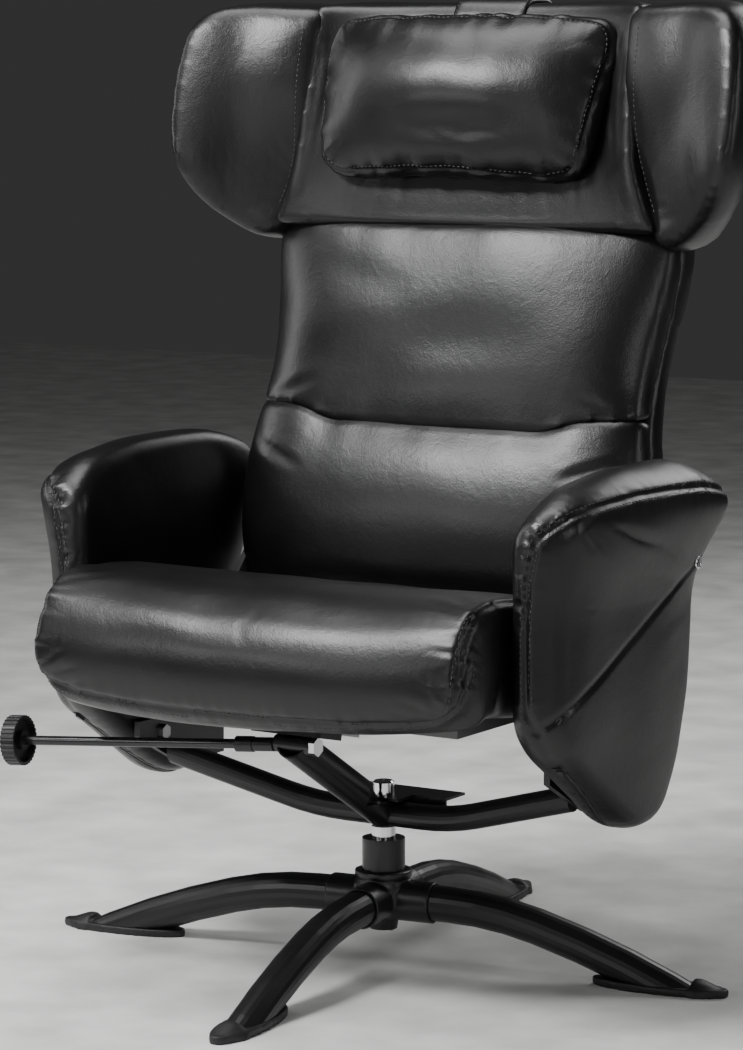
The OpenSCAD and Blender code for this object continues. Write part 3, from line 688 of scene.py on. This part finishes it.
def add_back():
    tuck = 0.004    # how far neighbours run into each other behind a seam
    lumbar, lumbar_rings = back_panel("lumbar_pad", lumbar_low.z, LUMBAR_SEAM_Z + tuck)
    upper, upper_rings = back_panel("upper_pad", LUMBAR_SEAM_Z - tuck, HEAD_SEAM_Z + tuck)
    upholster(lumbar, lumbar_rings[:1], ["lumbar_cushion"], cap=0.009, shape=lift_seam)
    upholster(upper, upper_rings[:1], ["upper_cushion"], cap=0.009, shape=lift_seam)
    right = [(along(HEAD_HALF, z), z) for z in (HEAD_SEAM_Z - tuck, 0.87, 0.92, 1.0, 1.06, head_high.z)]
    head, head_rings = pad("head_pad", two_sided(right, 0.010), head_front,
                           lambda x, z: along(FRONT_LINE, z) + 0.06, FRONT_VIEW, "back", edge=0.010,
                           crown=(0.0, 0.0), band=0.0)
    upholster(head, head_rings[:1], ["head_panel"], voxel=0.005, cap=0.006, rounds=8)
    right = [(half, z) for z, half in SHELL_HALF]
    shell, shell_rings = pad("back_cover", two_sided(right, 0.018), lambda x, z: along(SIDE_LINE, z),
                             shell_rear, FRONT_VIEW, "back", edge=0.007, crown=(0.0, 0.004), band=0.002)
    upholster(shell, shell_rings, ["back_shell"], cap=0.004)
    return lumbar, upper, head, shell


# ---- The wings ----

WING_TILT = math.tan(math.radians(12))
# Depth of a wing's faces, by its distance from the middle of the chair, at its foot and higher up
WING_FRONT = ((0.20, -0.012), (0.25, -0.018), (0.30, -0.046), (0.345, -0.084), (0.388, -0.104))
WING_FRONT_HIGH = ((0.20, -0.048), (0.225, -0.053), (0.25, -0.061), (0.30, -0.070), (0.345, -0.090),
                   (0.388, -0.106))
WING_REAR = ((0.22, 0.076), (0.30, 0.062), (0.35, 0.004), (0.388, -0.036))


def wing_plane(z):
    """Depth of the leaning plane that a wing's faces are measured from."""
    return 0.19 + WING_TILT * (z - 0.85)


def wing_front(x, z):
    high = smoothstep(0.86, 1.03, z)
    reach = 0.55 + 0.45 * smoothstep(0.80, 0.95, z)
    low = -0.012 + (along(WING_FRONT, x) + 0.012) * reach
    return wing_plane(z) + low + (along(WING_FRONT_HIGH, x) - low) * high


def wing_rear(x, z):
    return wing_plane(z) + along(WING_REAR, x)


def add_wing():
    outline = eased([(0.204, 1.099), (0.300, 1.104), (0.350, 1.098), (0.374, 1.074), (0.382, 1.015),
                     (0.382, 0.955), (0.373, 0.905), (0.350, 0.868), (0.318, 0.842), (0.286, 0.824),
                     (0.256, 0.826), (0.230, 0.870), (0.211, 0.93), (0.206, 1.0)], 0.02)
    wing, rings = pad("wing_pad_left", outline, wing_front, wing_rear, FRONT_VIEW, "back", edge=0.012,
                      crown=(0.006, 0.004), band=0.004)
    upholster(wing, rings, ["wing_left"], voxel=0.006, cap=0.003, rounds=6)
    return wing, rings


# ---- The seat ----

SEAT_HALF = 0.28


def seat_half(y, z):
    """Half the seat's width: narrower between the arms, and again at its rear."""
    return 0.279 - 0.007 * smoothstep(-0.228, -0.200, y) - 0.024 * smoothstep(-0.02, 0.015, y)


def seat_nose(co):
    """Rounds the lower corners of the seat's front in front view, bows it, and dishes its top."""
    x, y, z = co.T
    front = smoothstep(-0.245, -0.285, y)
    drop = np.clip((0.395 - z) / 0.085, 0, 1)
    narrow = 1 - 0.24 * (1 - np.sqrt(1 - 0.98 * drop ** 2.2))
    share = np.abs(x) / SEAT_HALF
    bow = 1 - share ** 2
    lift = 0.009 * share ** 2.5 * smoothstep(0.42, 0.46, z) * smoothstep(0.02, -0.12, y)
    under = 0.014 * np.clip(share, 0, 1.1) ** 3 + 0.008 * x / SEAT_HALF
    under *= smoothstep(0.39, 0.31, z) * smoothstep(-0.12, -0.26, y)
    return np.c_[x * (1 + (narrow - 1) * front), y - 0.007 * bow * front, z + lift + under]


def add_seat():
    outline = eased([(-0.245, 0.314), (-0.280, 0.315), (-0.298, 0.331), (-0.306, 0.370), (-0.299, 0.418),
                     (-0.276, 0.450), (-0.238, 0.463), (-0.170, 0.461), (-0.060, 0.445), (0.050, 0.430),
                     (0.056, 0.400), (0.056, 0.330), (-0.240, 0.329)], 0.026)
    seat, rings = pad("seat_pad", outline, lambda y, z: -seat_half(y, z), seat_half, SIDE_VIEW, "seat",
                      edge=0.008, crown=(0.004, 0.004), band=0.0)
    upholster(seat, rings, ["seat_cushion"], cap=0.005, shape=seat_nose, rounds=2)
    return seat, rings


# ---- The arms ----


def arm_outer(y, z):
    """The outer face: flared towards its top and wrapped round to the front."""
    flare = 0.029 * smoothstep(0.43, 0.560, z) ** 1.2
    wrap = 0.020 * smoothstep(-0.165, -0.203, y) ** 2
    return 0.343 + flare * (0.55 + 0.45 * smoothstep(-0.20, 0.02, y)) - wrap


def arm_inner(y, z):
    return 0.280 + 0.014 * smoothstep(0.52, 0.60, z)


def arm_crest(co):
    """Slopes the top from its inner crest down to the outer seam, and runs the inner side further back."""
    x, y, z = co.T
    slope = smoothstep(0.310, 0.385, x) * smoothstep(0.500, 0.590, z)
    rear = 0.028 * smoothstep(0.02, 0.11, y) * smoothstep(0.325, 0.285, x) * smoothstep(0.36, 0.50, z)
    return np.c_[x, y + rear, z - 0.017 * slope * (0.70 + 0.30 * smoothstep(-0.19, -0.05, y))]


def add_arm():
    outline = eased([(-0.204, 0.330), (-0.204, 0.550), (-0.152, 0.584), (-0.060, 0.597), (0.080, 0.597),
                     (0.146, 0.578), (0.154, 0.543), (0.120, 0.470), (0.113, 0.345), (0.085, 0.250),
                     (0.048, 0.197), (-0.002, 0.190), (-0.036, 0.202), (-0.176, 0.296)], 0.026)
    arm, rings = pad("arm_pad_trim_left", outline, arm_inner, arm_outer, SIDE_VIEW, "chassis", edge=0.014,
                     crown=(0.002, 0.004), band=0.003)
    upholster(arm, rings, ["arm_pad_left"], voxel=0.006, cap=0.003, shape=arm_crest, rounds=3)
    return arm


# ---- The head pillow ----

PILLOW_LEAN = Matrix.Rotation(math.radians(-15), 3, "X")
PILLOW_FOOT = (0, 0.19, 0.893)
PILLOW_HALF = 0.198


def pillow_place(points):
    """From the pillow's own frame to the chair's."""
    return np.array([tuple(PILLOW_LEAN @ Vector(p)) for p in points]) + PILLOW_FOOT


def add_pillow():
    outline = eased([(0.168, -0.004), (0.184, 0.090), (PILLOW_HALF, 0.188), (0.0, 0.193),
                     (-PILLOW_HALF, 0.190), (-0.192, 0.090), (-0.186, 0.000), (0.0, 0.004)], 0.042)

    def front(x, z):
        aside, up = np.abs(x) / PILLOW_HALF, np.abs(z - 0.096) / 0.100
        dome = (np.clip(1 - aside ** 2.2, 0, 1) * np.clip(1 - up ** 2.0, 0, 1)) ** 0.62
        return -0.030 - 0.006 * z / 0.18 - 0.064 * dome

    pillow, rings = pad("head_pillow_pad", outline, front, lambda x, z: -0.020 + 0 * x, FRONT_VIEW,
                        "pillow", edge=0.005, crown=(0.0, 0.0), band=0.004, step=0.009)
    set_coords(pillow, pillow_place(coords(pillow)))
    rings = [pillow_place(r) for r in rings]
    upholster(pillow, rings, ["head_pillow"], voxel=0.005, cap=0.006, rounds=2)
    return pillow, rings


lumbar, upper, head, shell = add_back()
wing, wing_rings = add_wing()
seat, seat_rings = add_seat()
arm = add_arm()
pillow, pillow_rings = add_pillow()
inflate_all()
for piece in (lumbar, upper, head, shell, wing, seat, arm, pillow):
    subdivide(piece)

# ---- Seams, gathers, folds and stitches, pressed into the finished pads ----

# The arm's lowest front corner, where its front seam, its diagonal seam and its zip meet
ARM_CORNER = (0.317, -0.204, 0.327)
ARM_SEAM = [ARM_CORNER, (0.306, -0.206, 0.350), (0.304, -0.206, 0.430), (0.306, -0.206, 0.490),
            (0.316, -0.204, 0.535), (0.334, -0.198, 0.552), (0.350, -0.165, 0.564), (0.362, -0.060, 0.572),
            (0.372, 0.020, 0.574), (0.376, 0.085, 0.572), (0.370, 0.138, 0.562), (0.352, 0.156, 0.548)]
ARM_DIAGONAL = [(0.350, 0.112, 0.486), (0.345, -0.010, 0.429), (0.345, -0.144, 0.368),
                (0.338, -0.185, 0.346), ARM_CORNER]
ARM_ZIP = [ARM_CORNER, (0.320, -0.160, 0.286), (0.313, -0.082, 0.233), (0.300, 0.002, 0.190)]
SEAT_BOTTOM_HALF = [(0.283, -0.278, 0.405), (0.281, -0.290, 0.380), (0.262, -0.296, 0.352),
                    (0.225, -0.301, 0.339), (0.15, -0.306, 0.330)]
SEAT_BOTTOM = [*across(SEAT_BOTTOM_HALF, -1), (0, -0.310, 0.327), *SEAT_BOTTOM_HALF[::-1]]
# Folds of the seat's lower corners: (width, height, depth)
SEAT_FOLDS = ((0.050, 0.040, 1.0), (0.064, 0.020, 0.9), (0.036, 0.054, 0.8), (0.078, 0.006, 0.6))
# Folds of the pillow, in its own frame: start, end, depth, width, bend
PILLOW_FOLDS = [((-0.020, -0.085, 0.042), (0.050, -0.078, 0.020), 0.0016, 0.009, (0, 0, -0.006)),
                ((0.015, -0.082, 0.036), (0.075, -0.080, 0.044), 0.0010, 0.009, (0, 0, 0.004)),
                ((0.128, -0.072, 0.026), (0.162, -0.058, 0.008), 0.0010, 0.008, (0, 0, 0)),
                ((-0.150, -0.070, 0.036), (-0.170, -0.052, 0.010), 0.0010, 0.008, (0, 0, 0)),
                ((0.156, -0.072, 0.158), (0.184, -0.056, 0.176), 0.0012, 0.008, (0, 0, 0))]


def part_of(ring, keep):
    """The run of a closed seam loop where keep(point) is true, as an open path."""
    marks = [bool(keep(p)) for p in ring]
    start = next(i for i in range(len(ring)) if marks[i] and not marks[i - 1])
    path = []
    for i in range(len(ring)):
        if not marks[(start + i) % len(ring)]:
            break
        path.append(ring[(start + i) % len(ring)])
    return np.array(path)


def seat_front_seam(i):
    """The seat's side seam where it runs down the front; 0 is the right-hand one and 1 the left-hand one."""
    return part_of(seat_nose(seat_rings[i]), lambda p: p[1] < -0.262 and p[2] > 0.350)


def sew_seat():
    soften(seat, 0.0022, 0.09, 3)
    for i, ring in enumerate(seat_rings):
        side = part_of(seat_nose(ring), lambda p: p[2] > 0.40 and p[1] < 0.05)
        sew(seat, side, depth=0.0030, width=0.0042, seed=i)
        sew(seat, seat_front_seam(i), depth=0.0, pucker=0.0030, reach=0.014, seed=4 + i, wavelength=0.010)
    sew(seat, SEAT_BOTTOM, depth=0.0034, width=0.0042, pucker=0.0012, reach=0.012, seed=8, wavelength=0.014)
    for side in (-1, 1):
        for k, (dx, dz, size) in enumerate(SEAT_FOLDS):
            foot = (side * (0.274 - 0.010 * k), -0.297, 0.362 - 0.007 * k)
            tip = (side * (0.274 - dx), -0.308, 0.350 + dz)
            crease(seat, foot, tip, 0.0012 * size, 0.005)
    stitch("seat_bottom_stitching", seat, SEAT_BOTTOM, offset=-0.007)
    for i, (name, offset) in enumerate((("right", 0.006), ("left", -0.006))):
        stitch("seat_seam_stitching_" + name, seat, seat_front_seam(i), offset=offset)


def across_back(z, ends, middle):
    """A level line across the back from side to side, following its front."""
    xs = np.linspace(-0.258, 0.258, 13)
    return [(x, middle + (ends - middle) * roll_off(x, z), z) for x in xs]


def sew_back():
    soften(lumbar, 0.0020, 0.10, 5)
    soften(upper, 0.0034, 0.12, 9)
    low_seam = lift_seam(np.array(across_back(LUMBAR_SEAM_Z, 0.136, 0.108)))
    for obj, seed in ((lumbar, 1), (upper, 2)):
        sew(obj, low_seam, depth=0.0, pucker=0.0006, reach=0.020, seed=seed, wavelength=0.03)
    sew(upper, across_back(HEAD_SEAM_Z, 0.190, 0.168), depth=0.0, pucker=0.0006, reach=0.016, seed=12,
        wavelength=0.03)
    crease(upper, (-0.240, 0.135, 0.634), (-0.150, 0.100, 0.672), 0.0012, 0.012)
    crease(upper, (0.240, 0.135, 0.634), (0.165, 0.100, 0.665), 0.0012, 0.012)
    dent(upper, (-0.13, 0.125, 0.690), 0.0046, 0.09, 0.036)
    dent(upper, (0.02, 0.125, 0.716), 0.0050, 0.10, 0.036)
    crease(upper, (-0.20, 0.150, 0.805), (-0.05, 0.135, 0.768), 0.0010, 0.030)
    crease(lumbar, (-0.250, 0.115, 0.585), (-0.170, 0.075, 0.560), 0.0020, 0.010)
    crease(lumbar, (0.250, 0.115, 0.585), (0.175, 0.075, 0.565), 0.0020, 0.010)


def sew_head():
    soften(head, 0.0012, 0.10, 2)
    soften(pillow, 0.0016, 0.05, 7)
    border = np.vstack([pillow_rings[0], pillow_rings[0][:1]])
    sew(pillow, border, depth=0.0026, width=0.0038, pucker=0.0030, reach=0.016, seed=21, wavelength=0.020)
    stitch("pillow_stitching", pillow, border, offset=0.005)
    dent(pillow, pillow_place([(0.01, -0.085, 0.050)])[0], 0.0075, 0.085, 0.026)
    for a, b, depth, width, bend in PILLOW_FOLDS:
        a, b = pillow_place([a, b])
        crease(pillow, a, b, depth, width, bend)


def gather(obj, path, side, seed):
    """Deep gathers on the inner side of the seam over the arm's front corner."""
    co, no = coords(obj), normals(obj)
    laid = np.array([tuple(p) for p in surface_path(obj, path)[0]])
    distance, place = nearest_on(laid, co, 0.03)
    near = np.flatnonzero(distance < 0.028)
    at = place[near] / (np.linalg.norm(np.diff(laid, axis=0), axis=1).sum())
    seam = laid[np.clip((at * (len(laid) - 1)).astype(int), 0, len(laid) - 1)]
    inward = (seam[:, 0] - co[near, 0]) * side + np.maximum(co[near, 2] - seam[:, 2], 0)
    ends = np.sin(np.pi * np.clip(at, 0, 1)) ** 0.5
    fade = np.exp(-(distance[near] / 0.013) ** 2) * smoothstep(0.0, 0.006, inward) * ends
    co[near] += no[near] * (0.0042 * fade * ripple(place[near], seed, 0.0075))[:, None]
    set_coords(obj, co)


def sew_wing(obj, side, name, seed):
    rim = across(part_of(wing_rings[1], lambda p: p[0] > 0.272), side)
    sew(obj, rim, depth=0.0026, width=0.0040, pucker=0.0016, reach=0.012, seed=seed, wavelength=0.012)
    stitch("wing_rim_stitching_" + name, obj, rim, offset=0.005)
    inner = [(along(HEAD_HALF, z) + 0.003, wing_front(along(HEAD_HALF, z), z) - 0.005, z)
             for z in np.linspace(0.865, 1.085, 12)]
    stitch("wing_seam_stitching_" + name, obj, across(inner, side))


def sew_arm(obj, side, name, seed):
    path = across(ARM_SEAM, side)
    sew(obj, path, depth=0.0028, width=0.0040, pucker=0.0006, reach=0.010, seed=seed)
    gather(obj, [p for p in path if p[2] > 0.40 and p[1] < -0.10], side, seed + 5)
    sew(obj, across(ARM_DIAGONAL, side), depth=0.0026, width=0.0036, seed=seed + 1)
    sew(obj, across(ARM_ZIP, side), depth=0.0016, width=0.0060, pucker=0.0010, reach=0.012, seed=seed + 2,
        wavelength=0.016)
    for row, offset in (("outer", 0.0055), ("inner", -0.0055)):
        stitch("arm_stitching_" + row + "_" + name, obj, path, offset=offset * side)


def add_right_hand(obj, name, node):
    """The right-hand twin of a left-hand pad."""
    twin = mirrored(obj, name)
    twin["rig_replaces"] = []
    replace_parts(twin, node)
    return twin


sew_seat()
sew_back()
sew_head()
wings = (wing, add_right_hand(wing, "wing_pad_right", "wing_right"))
arms = (arm, add_right_hand(arm, "arm_pad_trim_right", "arm_pad_right"))
for obj, (side, name), seed in zip(wings, SIDES, (31, 37)):
    sew_wing(obj, side, name, seed)
for obj, (side, name), seed in zip(arms, SIDES, (41, 51)):
    soften(obj, 0.0012, 0.07, 13 if side > 0 else 17)
    sew_arm(obj, side, name, seed)

# ---- Zips, strap, counterweight and the cast parts of the base ----

# Half-sizes of a zip's pieces, along it, across it and upwards
ZIP_TAPE = (0.00085, 0.0022, 0.0007)
ZIP_TOOTH = (0.0005, 0.0021, 0.0008)
ZIP_SLIDER = (0.0045, 0.0035, 0.0014)


def box_into(verts, faces, middle, along_dir, across_dir, up, size):
    """Adds a small box, with the given half-sizes along three directions, to a list of faces."""
    start = len(verts)
    for i in (-1, 1):
        for j in (-1, 1):
            for k in (-1, 1):
                verts.append(middle + along_dir * size[0] * i + across_dir * size[1] * j + up * size[2] * k)
    faces += [tuple(start + n for n in f) for f in
              ((0, 1, 3, 2), (4, 6, 7, 5), (0, 4, 5, 1), (2, 3, 7, 6), (0, 2, 6, 4), (1, 5, 7, 3))]


def zipper(name, obj, path, node):
    """A coil zip laid on obj: two tapes, a close row of teeth between them, and a slider near its start."""
    points, ups = surface_path(obj, path, 0.0016)
    verts, faces = [], []
    for i in range(1, len(points) - 1):
        run = (points[i + 1] - points[i - 1]).normalized()
        up = ups[i]
        side = up.cross(run).normalized()
        for s in (-1, 1):
            box_into(verts, faces, points[i] + side * s * 0.0046 + up * 0.0004, run, side, up, ZIP_TAPE)
        box_into(verts, faces, points[i] + up * 0.0010, run, side, up, ZIP_TOOTH)
        if i == 5:
            box_into(verts, faces, points[i] + up * 0.0022, run, side, up, ZIP_SLIDER)
    row = add_mesh(name, verts, faces, ZIP, obj["home"], smooth=False)
    row["slot"] = "zip_black"
    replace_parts(row, node)


STRAP_HALF = 0.049
STRAP_CENTRE = np.array([0.245, 1.02])    # a (y, z) inside the head section, which the strap goes round
STRAP_TOP, STRAP_UNDER = 0.0034, 0.0006   # heights of its two faces over the leather


def strap_bed(columns):
    """Where the strap lies on the head section and on the rear shell: (y, z) for each row and column."""
    graph = bpy.context.evaluated_depsgraph_get()
    trees = [BVHTree.FromObject(obj, graph) for obj in (head, shell)]
    line = eased([(0.167, 0.985), (0.178, 1.020), (0.206, 1.100), (0.246, 1.135), (0.300, 1.135),
                  (0.345, 1.085), (0.315, 0.955)], 0.03, closed=False)
    line = resample(line, 0.006)
    bed = np.zeros((len(line), len(columns), 2))
    for i, (y, z) in enumerate(line):
        drop = STRAP_CENTRE[1] - z if z >= 1.04 else 0
        aim = Vector((0, STRAP_CENTRE[0] - y, drop)).normalized()
        for j, x in enumerate(columns):
            start = Vector((x, y, z))
            hits = [tree.ray_cast(start, aim)[0] for tree in trees]
            nearest = min((h for h in hits if h is not None), key=lambda h: (h - start).length)
            bed[i, j] = nearest.y, nearest.z
    for _ in range(6):
        bed[1:-1] = (bed[:-2] + 2 * bed[1:-1] + bed[2:]) / 4
    return bed


def band_faces(rows, wide):
    """Faces of a band of two skins, each of `rows` by `wide` points, the second after the first."""
    faces = []
    half = rows * wide
    for i in range(rows - 1):
        for j in range(wide - 1):
            a, b = i * wide + j, half + i * wide + j
            faces += [(a, a + 1, a + wide + 1, a + wide), (b, b + wide, b + wide + 1, b + 1)]
        for j, turn in ((0, 1), (wide - 1, -1)):
            a = i * wide + j
            faces.append((a, a + wide, half + a + wide, half + a)[::turn])
    for i, turn in ((0, -1), (rows - 1, 1)):
        for j in range(wide - 1):
            a = i * wide + j
            faces.append((a, a + 1, half + a + 1, half + a)[::turn])
    return faces


def add_strap():
    """The pillow's strap: over the top of the head section and down behind it."""
    columns = np.linspace(-STRAP_HALF, STRAP_HALF, 13)
    bed = strap_bed(columns)
    level = bed.mean(axis=1)
    tangent = np.gradient(level, axis=0)
    outward = np.stack([-tangent[:, 1], tangent[:, 0]], 1)
    outward /= np.linalg.norm(outward, axis=1)[:, None]
    outward *= np.sign(np.sum(outward * (level - STRAP_CENTRE), axis=1))[:, None]
    slack = 0.004 * np.exp(-((level[:, 1] - 1.108) / 0.02) ** 2)    # it stands off a little at the top
    verts = []
    for lift, top in ((STRAP_TOP, True), (STRAP_UNDER, False)):
        for i in range(len(bed)):
            for j, x in enumerate(columns):
                edge = 0.0012 * (abs(x) > STRAP_HALF - 0.004)
                y, z = bed[i, j] + outward[i] * (lift + top * (slack[i] - edge))
                verts.append((x, y, z))
    strap = add_mesh("strap_band", verts, band_faces(len(bed), len(columns)), LEATHER, "back")
    face_out(strap)
    subdivide(strap)
    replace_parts(strap, "head_strap")
    clear = [(y, z) for y, z in level + outward * 0.006 if z > 1.085 or y > STRAP_CENTRE[0]]
    for side, name in SIDES[::-1]:
        path = [(side * (STRAP_HALF - 0.005), y, z) for y, z in clear]
        stitch("strap_stitching_" + name, strap, path)


POUCH_LEAN = Matrix.Rotation(math.radians(-6.6), 3, "X")
POUCH_HALF = 0.052
POUCH_HEIGHT = 0.120


def pouch_place(points):
    """From the pouch's own frame to the chair's."""
    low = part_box("strap_counterweight")[0]
    foot = Vector((0, low.y, low.z + 0.002))
    return np.array([tuple(foot + POUCH_LEAN @ Vector(p)) for p in points])


def add_counterweight():
    """A flat leather pouch at the strap's rear end, with a stitched border."""
    outline = eased([(POUCH_HALF, 0.0), (POUCH_HALF, POUCH_HEIGHT), (-POUCH_HALF, POUCH_HEIGHT),
                     (-POUCH_HALF, 0.0)], 0.012)
    pouch, _ = pad("counterweight_pouch", outline, lambda x, z: 0 * x, lambda x, z: 0.018 + 0 * x,
                   FRONT_VIEW, "counterweight", edge=0.005, crown=(0.0, 0.003), band=0.0015, swell=0.04,
                   step=0.006)
    set_coords(pouch, pouch_place(coords(pouch)))
    remesh(pouch, 0.004)
    relax(pouch, 2)
    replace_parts(pouch, "strap_counterweight")
    border = [(-0.045, 0.03, 0.008), (-0.045, 0.03, 0.112), (0.045, 0.03, 0.112), (0.045, 0.03, 0.008),
              (-0.045, 0.03, 0.008)]
    stitch("counterweight_stitching", pouch, pouch_place(border))


def cast(name, nodes, body, mat, slot, voxel=0.0016, rounds=5):
    """Stands for hard CAD nodes, with their corners eased as a casting's or a moulding's are."""
    verts, faces = [], []
    for node in nodes:
        source = frame["nodes"][node]
        start = len(verts)
        verts += [source.matrix_world @ v.co for v in source.data.vertices]
        faces += [[start + i for i in f.vertices] for f in source.data.polygons]
    obj = add_mesh(name, verts, faces, mat, body)
    face_out(obj)
    remesh(obj, voxel)
    relax(obj, rounds)
    obj["slot"] = slot
    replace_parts(obj, *nodes)


for obj, (side, name) in zip(arms, SIDES):
    zipper("arm_zip_coil_" + name, obj, across(ARM_ZIP[1:], side), "arm_zip_" + name)
add_strap()
add_counterweight()
cast("hub_cast", ["hub_casting"], "base", PAINT, "frame_black")
for place in ("front", "left", "rear", "right"):
    cast("foot_" + place, ["shoe_" + place], "base", SHOE, "shoe_plastic", voxel=0.0022, rounds=3)

# ---- Carried-over CAD nodes ----

SLOT_MATERIALS = {"leather_black": LEATHER, "frame_black": PAINT, "rod_steel": ROD_STEEL,
                  "shoe_plastic": SHOE, "bush_plastic": BUSH, "plate_steel": PLATE, "chrome": CHROME,
                  "bare_steel": BARE, "inner_steel": INNER, "webbing": WEBBING, "zip_black": ZIP,
                  "knob_plastic": KNOB}
for part in frame["record"]["subparts"]:
    for slot in frame["nodes"][part["node"]].material_slots:
        slot.material = SLOT_MATERIALS[part["material_slot"]]

# ---- Bodies and finish ----

for obj in list(scene.objects):
    if "home" in obj:
        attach(obj, obj["home"])
        for key in ("home", "slot"):
            if key in obj:
                del obj[key]
